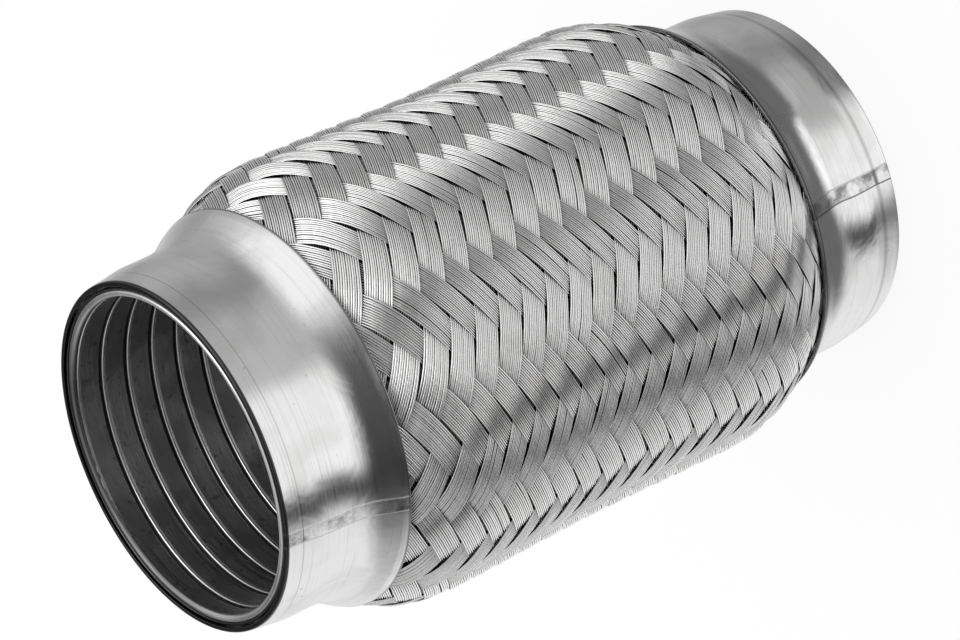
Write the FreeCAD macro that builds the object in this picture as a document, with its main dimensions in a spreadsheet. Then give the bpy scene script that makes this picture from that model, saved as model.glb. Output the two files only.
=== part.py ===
"""Exhaust flex pipe: two drawn end caps, a braided wire sleeve, a corrugated bellows and a
spiral-wound interlocking liner, one inside the other on one axis.

Millimetres. The pipe stands on one end: Z is its axis, Z = 0 is the lower rim, and the origin is
the middle of that rim. "Depth" is measured from the nearer rim, so both ends share it.
"""
import FreeCAD, Part
import math
import os
import re
import Sketcher

# Driving sizes: name, value, what it measures.
SIZES = [
    ("overall_length", 120.0, "rim to rim"),
    ("bore_radius", 25.0, "clear inside of the liner"),
    ("seat_clearance", 0.06, "between tubes that are pressed together under a neck"),
    ("strip_thickness", 0.25, "sheet that the liner is rolled from"),
    ("liner_wall", 1.1, "liner, inside to outside"),
    ("liner_pitch", 4.6, "one turn of the liner"),
    ("seam_gap", 0.5, "open seam between two turns of the liner"),
    ("strip_reach", 0.9, "how far a turn's outer band reaches over the next turn"),
    ("liner_setback", 0.8, "end of the liner inside the rim"),
    ("cuff_setback", 0.3, "end of the bellows inside the rim"),
    ("bellows_wall", 0.35, "bellows sheet, two plies"),
    ("wave_height", 6.4, "bellows wave above its cuff"),
    ("wave_pitch", 6.2, "one wave of the bellows"),
    ("wave_start", 8.0, "least distance from the collar's edge to the first wave"),
    ("cap_wall", 0.75, "cap sheet"),
    ("mouth_gap", 0.25, "between bellows cuff and cap at the rim"),
    ("mouth_taper", 5.5, "depth over which the neck is drawn in to the rim"),
    ("neck_depth", 14.0, "depth where the neck turns out into the flare"),
    ("flare_rise", 3.4, "flare, outwards"),
    ("flare_depth", 4.6, "flare, along the axis"),
    ("lip_depth", 0.9, "straight lip at the edge of the collar"),
    ("neck_bend", 12.0, "radius between neck and flare"),
    ("collar_bend", 1.8, "radius between flare and lip"),
    ("braid_setback", 6.5, "end of the braid inside the rim"),
    ("braid_root_wall", 0.95, "braid pressed flat under the neck"),
    ("braid_wall", 1.3, "braid over a crossing"),
    ("braid_relief", 0.55, "height of a strand over the hollows beside it"),
    ("braid_gap", 0.8, "between bellows and braid at mid length"),
    ("shoulder_bulge", 0.5, "extra radius of the braid at its shoulders"),
    ("shoulder_depth", 12.6, "from the collar's edge to the braid's widest place"),
    ("weave_tuck", 1.0, "how far the open weave runs in under the collar"),
    ("weave_turn", 2.6, "degrees that the weave is turned about the axis"),
    ("strand_spacing", 4.484, "between strands of one hand, along the axis"),
    ("slot_share", 0.14, "open slot at a crossing, as a share of a strand's width"),
    ("edge_share", 0.03, "sloping edge of a strand beside such a slot, as the same share"),
    ("end_share", 0.22, "sloping end of a strand, where it dives under the next"),
]
STRANDS = 24  # of each hand
SLOT_ROWS = (2, 3)  # rows of crossings with open slots, counted from the edge of the weave
END_DROP = 0.3  # of the relief, at the ends of a strand's stretch on top

doc = FreeCAD.newDocument("exhaust_flex_pipe")
sheet = doc.addObject("Spreadsheet::Sheet", "Sizes")
for line, (alias, value, meaning) in enumerate(SIZES, start=1):
    sheet.set(f"A{line}", alias)
    sheet.set(f"B{line}", str(value))
    sheet.set(f"C{line}", meaning)
    sheet.setAlias(f"B{line}", alias)
doc.recompute()
ALIASES = {alias for alias, value, meaning in SIZES}


def bound(text):
    """Expression on the sheet for a sum or formula written with the names of sizes."""
    return re.sub(r"[a-z]+(_[a-z]+)*", lambda word: cell_name(word.group()), text)


def cell_name(word):
    """Name of a size's cell as seen from another object, or the word itself."""
    return f"Sizes.{word}" if word in ALIASES else word


def size(text):
    """Value of such a formula, in millimetres."""
    return float(sheet.evalExpression(bound(text)))


# Radii, worked out from the bore outwards.
LINER_OUTSIDE = "(bore_radius + liner_wall)"
CUFF_INSIDE = f"({LINER_OUTSIDE} + seat_clearance)"
CUFF_OUTSIDE = f"({CUFF_INSIDE} + bellows_wall)"
CREST_OUTSIDE = f"({CUFF_OUTSIDE} + wave_height)"
NECK_INSIDE = f"({CUFF_OUTSIDE} + braid_root_wall + 2 * seat_clearance)"
NECK_OUTSIDE = f"({NECK_INSIDE} + cap_wall)"
RIM_INSIDE = f"({CUFF_OUTSIDE} + mouth_gap)"
RIM_OUTSIDE = f"({RIM_INSIDE} + cap_wall)"
COLLAR_OUTSIDE = f"({NECK_OUTSIDE} + flare_rise)"
COLLAR_INSIDE = f"({COLLAR_OUTSIDE} - cap_wall)"
BRAID_MIDDLE = f"({CREST_OUTSIDE} + braid_gap + braid_wall)"

# Depths along the axis. The inner corners of a bent sheet lie a little past its outer ones.
FLARE_END = "(neck_depth + flare_depth)"
COLLAR_EDGE = f"({FLARE_END} + lip_depth)"
WALL_SHIFT = "(cap_wall * tan(atan(flare_rise / flare_depth) / 2))"
WEAVE_EDGE = f"({COLLAR_EDGE} - weave_tuck)"


def outline(body, name, corners):
    """Closed sketch in the body's XZ plane through corners given as (radius, height) formulas.

    A corner may add the radius of an arc to the next corner, above zero where the arc
    turns left on its way and below zero where it turns right.
    """
    sketch = body.newObject("Sketcher::SketchObject", name)
    plane = next(item for item in body.Origin.OriginFeatures if item.Role == "XZ_Plane")
    sketch.AttachmentSupport = [(plane, "")]
    sketch.MapMode = "FlatFace"
    places = [FreeCAD.Vector(size(corner[0]), size(corner[1]), 0) for corner in corners]
    ends = []
    for index, corner in enumerate(corners):
        start = places[index]
        stop = places[(index + 1) % len(places)]
        if len(corner) == 2:
            sketch.addGeometry(Part.LineSegment(start, stop), False)
            ends.append((1, 2))
            continue
        bend, side = corner[2:]
        sketch.addGeometry(Part.Arc(start, arc_middle(start, stop, size(bend), side), stop), False)
        ends.append((1, 2) if side == "left" else (2, 1))
    for index, corner in enumerate(corners):
        following = (index + 1) % len(corners)
        sketch.addConstraint(
            Sketcher.Constraint("Coincident", index, ends[index][1], following, ends[following][0])
        )
        place = (index, ends[index][0])
        for kind, formula, value in zip(("DistanceX", "DistanceY"), corner, places[index]):
            number = sketch.addConstraint(Sketcher.Constraint(kind, -1, 1, *place, value))
            sketch.setExpression(f"Constraints[{number}]", bound(formula))
        if len(corner) > 2:
            number = sketch.addConstraint(Sketcher.Constraint("Radius", index, size(corner[2])))
            sketch.setExpression(f"Constraints[{number}]", bound(corner[2]))
    return sketch


def arc_middle(start, stop, bend, side):
    """Middle point of an arc of radius bend from start to stop that turns to the given side."""
    chord = stop - start
    half = chord.Length / 2
    sagitta = bend - math.sqrt(bend * bend - half * half)
    across = FreeCAD.Vector(chord.y, -chord.x, 0).normalize()
    if side == "right":
        across = across * -1
    return start + chord * 0.5 + across * sagitta


def turned(body, name, corners, feature="PartDesign::Revolution"):
    """Outline turned once round the pipe's axis, adding material or, as a groove, cutting it."""
    sketch = outline(body, f"{name}_outline", corners)
    ring = body.newObject(feature, name)
    ring.Profile = sketch
    ring.ReferenceAxis = (sketch, ["V_Axis"])
    ring.Angle = 360
    sketch.Visibility = False
    doc.recompute()
    return ring


def round_corner(body, name, base, radius, height, bend):
    """Fillet the circular edge that lies at the given radius and height."""
    for number, edge in enumerate(base.Shape.Edges, start=1):
        if not isinstance(edge.Curve, Part.Circle):
            continue
        off_radius = abs(edge.Curve.Radius - size(radius))
        off_height = abs(edge.Curve.Center.z - size(height))
        if max(off_radius, off_height) < 0.001:
            fillet = body.newObject("PartDesign::Fillet", name)
            fillet.Base = (base, [f"Edge{number}"])
            fillet.setExpression("Radius", bound(bend))
            doc.recompute()
            return fillet
    raise RuntimeError(f"{name}: no edge at radius {radius}, height {height}")


def end_cap(label, height):
    """Drawn cap: neck drawn in at the rim, flare, and a lip that closes on the braid.

    height turns a depth formula into a height above the lower rim.
    """
    body = doc.addObject("PartDesign::Body", label)
    inner_bend = f"(neck_depth + {WALL_SHIFT})"
    inner_end = f"({FLARE_END} + {WALL_SHIFT})"
    wall = turned(body, f"{label}_wall", [
        (RIM_OUTSIDE, height("0")),
        (NECK_OUTSIDE, height("mouth_taper")),
        (NECK_OUTSIDE, height("neck_depth")),
        (COLLAR_OUTSIDE, height(FLARE_END)),
        (COLLAR_OUTSIDE, height(COLLAR_EDGE)),
        (COLLAR_INSIDE, height(COLLAR_EDGE)),
        (COLLAR_INSIDE, height(inner_end)),
        (NECK_INSIDE, height(inner_bend)),
        (NECK_INSIDE, height("mouth_taper")),
        (RIM_INSIDE, height("0")),
    ])
    bends = [
        ("neck_outside", NECK_OUTSIDE, "neck_depth", "neck_bend"),
        ("neck_inside", NECK_INSIDE, inner_bend, "neck_bend + cap_wall"),
        ("collar_outside", COLLAR_OUTSIDE, FLARE_END, "collar_bend"),
        ("collar_inside", COLLAR_INSIDE, inner_end, "collar_bend - cap_wall"),
    ]
    for name, radius, depth, bend in bends:
        wall = round_corner(body, f"{label}_{name}", wall, radius, height(depth), bend)
    return body


def from_below(depth):
    """Height of a depth measured from the lower rim."""
    return depth


def from_above(depth):
    """Height of a depth measured from the upper rim."""
    return f"(overall_length - {depth})"


def bellows():
    """Corrugated tube: as many equal waves as fit between the flares, and a cuff at each end."""
    body = doc.addObject("PartDesign::Body", "bellows")
    room = size(f"overall_length - 2 * ({COLLAR_EDGE} + wave_start)")
    waves = max(1, int(room / size("wave_pitch")) + 1)
    run = f"({waves - 1} * wave_pitch)"
    middle = f"((overall_length - {run}) / 2)"
    foot = f"({middle} - wave_pitch / 2)"
    crest_bend = "(wave_pitch / 4 + bellows_wall / 2)"
    root_bend = "(wave_pitch / 4 - bellows_wall / 2)"
    root = f"({CUFF_INSIDE} + {crest_bend})"
    crest = f"({CREST_OUTSIDE} - {crest_bend})"
    near, far = f"({middle} - {crest_bend})", f"({middle} + {crest_bend})"
    inner_near, inner_far = f"({middle} - {root_bend})", f"({middle} + {root_bend})"
    top = f"({foot} + wave_pitch)"
    wave = turned(body, "wave", [
        (CUFF_OUTSIDE, foot, root_bend, "left"),
        (root, near),
        (crest, near, crest_bend, "right"),
        (CREST_OUTSIDE, middle, crest_bend, "right"),
        (crest, far),
        (root, far, root_bend, "left"),
        (CUFF_OUTSIDE, top),
        (CUFF_INSIDE, top, crest_bend, "right"),
        (root, inner_far),
        (crest, inner_far, root_bend, "left"),
        (f"({CREST_OUTSIDE} - bellows_wall)", middle, root_bend, "left"),
        (crest, inner_near),
        (root, inner_near, crest_bend, "right"),
        (CUFF_INSIDE, foot),
    ])
    if waves > 1:
        row = body.newObject("PartDesign::LinearPattern", "waves")
        row.Originals = [wave]
        row.Direction = (wave.Profile[0], ["V_Axis"])
        row.Occurrences = waves
        row.setExpression("Length", bound(run))
        body.Tip = row
        doc.recompute()
    for end, height, edge in (("lower", from_below, foot), ("upper", from_above, foot)):
        turned(body, f"{end}_cuff", [
            (CUFF_INSIDE, height("cuff_setback")),
            (CUFF_OUTSIDE, height("cuff_setback")),
            (CUFF_OUTSIDE, height(edge)),
            (CUFF_INSIDE, height(edge)),
        ])
    return body


def spiral_liner():
    """Strip rolled to an S and wound to the right, each turn's outer hook behind the next
    turn's inner hook, cut square at both ends."""
    body = doc.addObject("PartDesign::Body", "spiral_liner")
    band = "(liner_pitch - seam_gap)"
    reach = "(liner_pitch + strip_reach)"
    start = f"(-1 * {reach})"

    def corner(depth, along):
        return (f"(bore_radius + {depth})", f"({start} + {along})")

    hook = "(liner_wall - 2 * strip_thickness)"
    strip = outline(body, "strip", [
        corner("0", "0"),
        corner("0", band),
        corner("(liner_wall - strip_thickness)", band),
        corner("(liner_wall - strip_thickness)", f"({reach} - strip_thickness)"),
        corner("(2 * strip_thickness)", f"({reach} - strip_thickness)"),
        corner("(2 * strip_thickness)", reach),
        corner("liner_wall", reach),
        corner("liner_wall", f"({band} - strip_thickness)"),
        corner("strip_thickness", f"({band} - strip_thickness)"),
        corner("strip_thickness", "strip_thickness"),
        corner(hook, "strip_thickness"),
        corner(hook, "0"),
    ])
    winding = body.newObject("PartDesign::AdditiveHelix", "winding")
    winding.Profile = strip
    winding.ReferenceAxis = (strip, ["V_Axis"])
    winding.Mode = "pitch-turns-angle"
    winding.LeftHanded = False
    winding.setExpression("Pitch", bound("liner_pitch"))
    winding.setExpression("Turns", bound(f"ceil((overall_length + {reach}) / liner_pitch)"))
    doc.recompute()
    for end, height in (("lower", from_below), ("upper", from_above)):
        turned(body, f"{end}_cut", [
            (f"({LINER_OUTSIDE} + liner_wall)", height("(0 - 3 * liner_pitch)")),
            (f"({LINER_OUTSIDE} + liner_wall)", height("liner_setback")),
            ("(bore_radius - liner_wall)", height("liner_setback")),
            ("(bore_radius - liner_wall)", height("(0 - 3 * liner_pitch)")),
        ], "PartDesign::Groove")
    return body


class Weave:
    """Closed wall of the braid, built on the lattice of its crossings.

    A lattice place is (column, row): one column is half the angle between strands of one
    hand, one row half their spacing, and row 0 is the lower edge of the weave. Crossings lie
    where column + row is even, and their diamond-shaped tiles have corners where it is odd.
    A strand runs over two crossings and under two, so every two tiles in a strand's line
    make one raised stretch of it.
    """

    def __init__(self):
        self.length = size("overall_length")
        self.foot = size(WEAVE_EDGE)
        reach = self.length - 2 * self.foot
        self.rows = round(2 * reach / size("strand_spacing"))
        self.row_height = reach / self.rows
        self.columns = 2 * STRANDS
        self.turn = math.radians(size("weave_turn"))
        self.slots = {
            (column, row)
            for step in SLOT_ROWS
            for row in (step, self.rows - step)
            for column in range(self.columns)
            if (column + row) % 2
        }
        self.points = []
        self.numbers = {}
        self.facets = []

    def height(self, row):
        """Height of a row above the lower rim."""
        return self.foot + row * self.row_height

    def depth(self, row):
        """Depth of a row from the nearer rim."""
        return min(self.height(row), self.length - self.height(row))

    def inside_of_cap(self, depth):
        """Inner radius of the end cap at a depth, along its straight faces."""
        neck_end = size(f"neck_depth + {WALL_SHIFT}")
        flare_end = size(f"{FLARE_END} + {WALL_SHIFT}")
        share = (depth - neck_end) / (flare_end - neck_end)
        share = min(1.0, max(0.0, share))
        return size(NECK_INSIDE) + share * size("flare_rise")

    def outer_radius(self, depth):
        """Radius over the strands: seated in the cap, rounding up to a shoulder beside it,
        and a little slimmer at mid length."""
        edge = size(COLLAR_EDGE)
        clear = 2 * size("seat_clearance")
        if depth <= edge:
            return self.inside_of_cap(depth) - clear
        leaving = size(COLLAR_INSIDE) - clear
        shoulder = size(f"{BRAID_MIDDLE} + shoulder_bulge")
        rise = (depth - edge) / size("shoulder_depth")
        if rise < 1:
            return shoulder - (shoulder - leaving) * (1 - rise) ** 2
        widest = edge + size("shoulder_depth")
        fall = (depth - widest) / (self.length / 2 - widest)
        return size(BRAID_MIDDLE) + size("shoulder_bulge") * (1 + math.cos(math.pi * fall)) / 2

    def wall(self, depth):
        """Thickness, from pressed flat under the neck to full where the braid leaves the cap."""
        share = (depth - size("neck_depth")) / (size(COLLAR_EDGE) - size("neck_depth"))
        share = min(1.0, max(0.0, share))
        return size("braid_root_wall") + share * (size("braid_wall") - size("braid_root_wall"))

    def relief(self, depth):
        """Height of the strands over the hollows, growing from nothing at the weave's edge."""
        share = (depth - size(WEAVE_EDGE)) / size("weave_tuck")
        return size("braid_relief") * min(1.0, max(0.0, share))

    def place(self, column, row, layer, drop=1.0):
        """Number of the point at a lattice place, on the outer or the inner side."""
        key = (round(column, 6) % self.columns, round(row, 6), layer, drop)
        if key not in self.numbers:
            depth = self.depth(row)
            radius = self.outer_radius(depth)
            if layer == "outer":
                radius -= drop * self.relief(depth)
            else:
                radius -= self.wall(depth)
            self.numbers[key] = self.add_point(radius, column, self.height(row))
        return self.numbers[key]

    def add_point(self, radius, column, height):
        """Keep a point given by its radius, column and height, and return its number."""
        angle = self.turn + math.tau * column / self.columns
        self.points.append(
            FreeCAD.Vector(radius * math.cos(angle), radius * math.sin(angle), height)
        )
        return len(self.points) - 1

    def add_facet(self, first, second, third, outwards):
        """Keep a triangle, turned so that it faces along the given direction."""
        a, b, c = (self.points[number] for number in (first, second, third))
        facing = (b - a).cross(c - a).dot(outwards)
        self.facets.append((first, second, third) if facing > 0 else (first, third, second))

    def add_fan(self, numbers, side):
        """Triangles over a convex ring of points, facing away from the axis or towards it."""
        for second, third in zip(numbers[1:], numbers[2:]):
            middle = self.points[second]
            away = FreeCAD.Vector(middle.x, middle.y, 0) * side
            self.add_facet(numbers[0], second, third, away)

    def stretches(self):
        """Tiles grouped into raised stretches: hand and first tile, and which tiles it has."""
        found = {}
        for row in range(1, self.rows):
            for column in range(self.columns):
                if (column + row) % 2:
                    continue
                step = column % 2
                hand = 1 if column % 4 < 2 else -1
                key = (hand, column - step, row - hand * step)
                found.setdefault(key, []).append(step)
        return found

    def ring(self, hand, column, row, steps):
        """Outline of a stretch as lists of lattice places, one list for each corner, and
        the matching corner of its raised top with its drop."""
        low, high = min(steps) - 0.5, max(steps) + 0.5
        stations = [low] + [station + 0.5 for station in steps[:-1]] + [high]
        slot = size("slot_share")
        inset = slot + size("edge_share")
        lower = [(station, -0.5) for station in stations]
        upper = [(station, 0.5) for station in reversed(stations)]
        corners = lower + upper
        found = []
        for index, corner in enumerate(corners):
            before = corners[index - 1]
            after = corners[(index + 1) % len(corners)]
            arriving = unit_step(before, corner)
            leaving = unit_step(corner, after)
            lattice = self.lattice(hand, column, row, corner)
            if (round(lattice[0]) % self.columns, round(lattice[1])) in self.slots:
                edge = [shifted(corner, arriving, -slot)]
                if arriving == leaving:
                    inwards = (-arriving[1], arriving[0])
                    edge.append(shifted(corner, inwards, slot))
                edge.append(shifted(corner, leaving, slot))
            else:
                edge = [corner]
            end = corner[0] in (low, high)
            along = corner[0]
            if corner[0] == low:
                along += size("end_share")
            if corner[0] == high:
                along -= size("end_share")
            top = (along, corner[1] * (1 - 2 * inset))
            found.append((
                [self.lattice(hand, column, row, place) for place in edge],
                self.lattice(hand, column, row, top),
                END_DROP if end else 0.0,
            ))
        return found

    def lattice(self, hand, column, row, place):
        """Lattice place of a point given along and across a strand."""
        along, across = place
        return column + along + across, row + hand * (along - across)

    def add_stretch(self, hand, column, row, steps):
        """Raised top of one stretch of strand and the slopes down to the hollows round it."""
        corners = self.ring(hand, column, row, steps)
        tops = [self.place(*top, "outer", drop) for edge, top, drop in corners]
        feet = [[self.place(*place, "outer") for place in edge] for edge, top, drop in corners]
        for index, top in enumerate(tops):
            for first, second in zip(feet[index], feet[index][1:]):
                self.add_fan([top, first, second], 1)
            following = (index + 1) % len(tops)
            self.add_fan([top, feet[index][-1], feet[following][0]], 1)
            self.add_fan([top, feet[following][0], tops[following]], 1)
        half = len(tops) // 2
        for index in range(half - 1):
            across = len(tops) - 1 - index
            self.add_fan([tops[index], tops[index + 1], tops[across - 1], tops[across]], 1)

    def add_lining(self, column, row):
        """Inner side of one tile."""
        slot = size("slot_share")
        around = [(1, 0), (0, 1), (-1, 0), (0, -1)]
        numbers = []
        for index, (right, up) in enumerate(around):
            corner = ((column + right) % self.columns, row + up)
            if corner not in self.slots:
                numbers.append(self.place(column + right, row + up, "inner"))
                continue
            for turn in (-1, 1):
                towards = around[(index + turn) % 4]
                step = (towards[0] - right, towards[1] - up)
                numbers.append(
                    self.place(column + right + slot * step[0], row + up + slot * step[1], "inner")
                )
        self.add_fan(numbers, -1)

    def add_slot(self, column, row):
        """Walls of the open slot at a tile corner."""
        slot = size("slot_share")
        around = [(1, 1), (-1, 1), (-1, -1), (1, -1)]
        places = [(column + slot * right, row + slot * up) for right, up in around]
        outer = [self.place(*place, "outer") for place in places]
        inner = [self.place(*place, "inner") for place in places]
        middle = sum((self.points[number] for number in outer + inner), FreeCAD.Vector()) / 8
        for index in range(4):
            following = (index + 1) % 4
            towards = middle - (self.points[outer[index]] + self.points[inner[following]]) / 2
            self.add_facet(outer[index], outer[following], inner[following], towards)
            self.add_facet(outer[index], inner[following], inner[index], towards)

    def skirt_ring(self, upper, depth, layer):
        """Ring of points under the upper or the lower neck."""
        flat = math.cos(math.pi / self.columns)
        if layer == "outer":
            radius = size(f"{NECK_INSIDE} - seat_clearance")
        else:
            radius = size(f"{CUFF_OUTSIDE} + seat_clearance") / flat
        height = self.length - depth if upper else depth
        return [self.add_point(radius, column, height) for column in range(self.columns)]

    def add_end(self, upper):
        """Half tiles at the weave's edge and the flat-pressed skirt under the neck."""
        last = self.rows if upper else 0
        before = last - 1 if upper else 1
        rings = []
        for layer, side in (("outer", 1), ("inner", -1)):
            edge = [self.place(column, last, layer) for column in range(self.columns)]
            for column in range(self.columns):
                if (column + last) % 2 == 0:
                    tip = self.place(column, before, layer)
                    self.add_fan([edge[column - 1], edge[column], tip], side)
                    self.add_fan([edge[column], edge[(column + 1) % self.columns], tip], side)
            bend = self.skirt_ring(upper, size("neck_depth"), layer)
            foot = self.skirt_ring(upper, size("braid_setback"), layer)
            for near, far in ((edge, bend), (bend, foot)):
                self.add_band(near, far, side)
            rings.append(foot)
        outwards = FreeCAD.Vector(0, 0, 1 if upper else -1)
        for column in range(self.columns):
            following = (column + 1) % self.columns
            self.add_facet(rings[0][column], rings[0][following], rings[1][following], outwards)
            self.add_facet(rings[0][column], rings[1][following], rings[1][column], outwards)

    def add_band(self, near, far, side):
        """Band between two rings of points."""
        for column in range(self.columns):
            following = (column + 1) % self.columns
            self.add_fan([near[column], near[following], far[following], far[column]], side)

    def solid(self):
        """Closed solid of the whole braid."""
        for (hand, column, row), steps in self.stretches().items():
            self.add_stretch(hand, column, row, sorted(steps))
        for row in range(1, self.rows):
            for column in range(self.columns):
                if (column + row) % 2 == 0:
                    self.add_lining(column, row)
        for column, row in sorted(self.slots):
            self.add_slot(column, row)
        for upper in (False, True):
            self.add_end(upper)
        skin = Part.Shape()
        skin.makeShapeFromMesh((self.points, self.facets), 0.0001)
        return Part.Solid(Part.Shell(skin.Faces))


def unit_step(start, stop):
    """Direction from one place to the next where they differ along or across only."""
    return tuple((b > a) - (b < a) for a, b in zip(start, stop))


def shifted(place, direction, distance):
    """Place moved by a distance in a direction."""
    return tuple(value + distance * step for value, step in zip(place, direction))


def wire_braid():
    """Sleeve of flat strands, woven two over two, as one wall with open slots near its ends."""
    weave = Weave()
    braid = doc.addObject("Part::Feature", "wire_braid")
    braid.Shape = weave.solid()
    print("braid triangles", len(weave.facets), "slots", len(weave.slots), "rows", weave.rows)
    return braid


parts = [
    end_cap("lower_end_cap", from_below),
    end_cap("upper_end_cap", from_above),
    bellows(),
    spiral_liner(),
    wire_braid(),
]
for part in parts:
    part.Placement = FreeCAD.Placement()
doc.recompute()

for item in doc.Objects:
    if {"Invalid", "Error"} & set(item.State):
        raise RuntimeError(f"{item.Name} did not build: {item.State}")
os.makedirs("parts", exist_ok=True)
for part in parts:
    shape = part.Shape
    if shape.isNull() or not shape.isValid() or shape.Volume <= 0:
        raise RuntimeError(f"{part.Label} has no valid solid")
    print(part.Label, len(shape.Solids), "solid,", round(shape.Volume / 1000, 2), "cm3")
for part in parts:
    part.Shape.exportStep(f"parts/{part.Label}.step")
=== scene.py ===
"""Looks of the exhaust flex pipe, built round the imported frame.

The pipe stands on its lower rim with its axis on Z. Metres throughout. A depth is measured along
the axis from the nearer rim, so the two ends share every number.
"""

import logging
import math
import random
from dataclasses import dataclass, field
from enum import Enum
from typing import NamedTuple

import bpy
import numpy as np
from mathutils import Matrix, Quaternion, Vector

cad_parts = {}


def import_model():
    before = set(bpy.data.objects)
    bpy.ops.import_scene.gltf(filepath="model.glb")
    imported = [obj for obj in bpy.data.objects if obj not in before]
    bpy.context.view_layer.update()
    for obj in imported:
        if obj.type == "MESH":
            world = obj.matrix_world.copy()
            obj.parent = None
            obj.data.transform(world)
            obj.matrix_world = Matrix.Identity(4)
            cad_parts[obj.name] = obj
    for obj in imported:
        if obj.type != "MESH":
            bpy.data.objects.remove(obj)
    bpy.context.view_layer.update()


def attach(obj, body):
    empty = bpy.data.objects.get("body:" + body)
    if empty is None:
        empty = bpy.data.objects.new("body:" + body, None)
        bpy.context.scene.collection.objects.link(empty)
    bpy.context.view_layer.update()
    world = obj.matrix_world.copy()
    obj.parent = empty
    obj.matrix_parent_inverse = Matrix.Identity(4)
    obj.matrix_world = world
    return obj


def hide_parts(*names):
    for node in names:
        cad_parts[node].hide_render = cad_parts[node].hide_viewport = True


LOG = logging.getLogger("flex_pipe")
MM = 0.001
ROOT = "root"
LENGTH = 120 * MM
# Points nearer than these are one: in any piece, and at the liner's finer cuts.
MERGE = 0.002 * MM
CUT_MERGE = 0.0005 * MM
# Half the angle of a corner past which it counts as straight and gets no arc.
STRAIGHT = math.radians(89.5)


class End(Enum):
    """End of the pipe: the upper one is the mouth that faces the camera."""

    UPPER = "upper"
    LOWER = "lower"


class Hand(Enum):
    """Hand of a braid strand: which way it climbs round the sleeve."""

    RIGHT = 1
    LEFT = -1


class Span(NamedTuple):
    """Where a smooth change starts and stops, and the numbers it runs between."""

    start: float
    stop: float
    low: float = 0.0
    high: float = 1.0


class Relief(NamedTuple):
    """Strength of a bump, below zero where it goes inwards, and its height in metres."""

    strength: float
    height: float


def select_only(piece: bpy.types.Object) -> None:
    """Deselects everything and makes one object the selected and active one.

    Args:
        piece: Object to select.
    """
    bpy.ops.object.select_all(action="DESELECT")
    piece.select_set(True)
    bpy.context.view_layer.objects.active = piece


def apply_modifier(piece: bpy.types.Object, kind: str, **settings: object) -> None:
    """Adds a modifier with its settings and applies it.

    Args:
        piece: Object that gets it.
        kind: Blender's name of the modifier type.
        settings: Values of the modifier's properties.
    """
    select_only(piece)
    modifier = piece.modifiers.new(kind.title(), kind)
    for name, value in settings.items():
        setattr(modifier, name, value)
    bpy.ops.object.modifier_apply(modifier=modifier.name)


def points_of(piece: bpy.types.Object) -> np.ndarray:
    """Vertex places of a mesh object.

    Args:
        piece: Mesh object.

    Returns:
        Array of one row of x, y, z a vertex.
    """
    places = np.empty(len(piece.data.vertices) * 3, np.float32)
    piece.data.vertices.foreach_get("co", places)
    return places.reshape(-1, 3).astype(float)


def move_points(piece: bpy.types.Object, places: np.ndarray) -> None:
    """Moves every vertex of a mesh object.

    Args:
        piece: Mesh object.
        places: Array of one row of x, y, z a vertex.
    """
    piece.data.vertices.foreach_set("co", places.astype(np.float32).ravel())
    piece.data.update()


def write_values(piece: bpy.types.Object, name: str, values: np.ndarray) -> None:
    """Writes one number a vertex as an attribute that a material can read.

    Args:
        piece: Mesh object.
        name: Name of the attribute.
        values: One number a vertex.
    """
    attribute = piece.data.attributes.new(name, "FLOAT", "POINT")
    attribute.data.foreach_set("value", values.astype(np.float32))


def smooth(piece: bpy.types.Object, angle: float = math.radians(40)) -> None:
    """Shades a piece smooth, with edges sharper than an angle kept.

    Args:
        piece: Mesh object.
        angle: Least angle of a kept edge.
    """
    select_only(piece)
    bpy.ops.object.shade_smooth_by_angle(angle=angle)


def recalculate(piece: bpy.types.Object) -> None:
    """Merges doubled vertices and turns all faces outwards.

    Args:
        piece: Mesh object.
    """
    select_only(piece)
    bpy.ops.object.mode_set(mode="EDIT")
    bpy.ops.mesh.select_all(action="SELECT")
    bpy.ops.mesh.remove_doubles(threshold=MERGE)
    bpy.ops.mesh.normals_make_consistent(inside=False)
    bpy.ops.object.mode_set(mode="OBJECT")


def coat(piece: bpy.types.Object, material: bpy.types.Material) -> None:
    """Makes a material the only one of a piece.

    Args:
        piece: Mesh object.
        material: The material.
    """
    piece.data.materials.clear()
    piece.data.materials.append(material)


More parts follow.
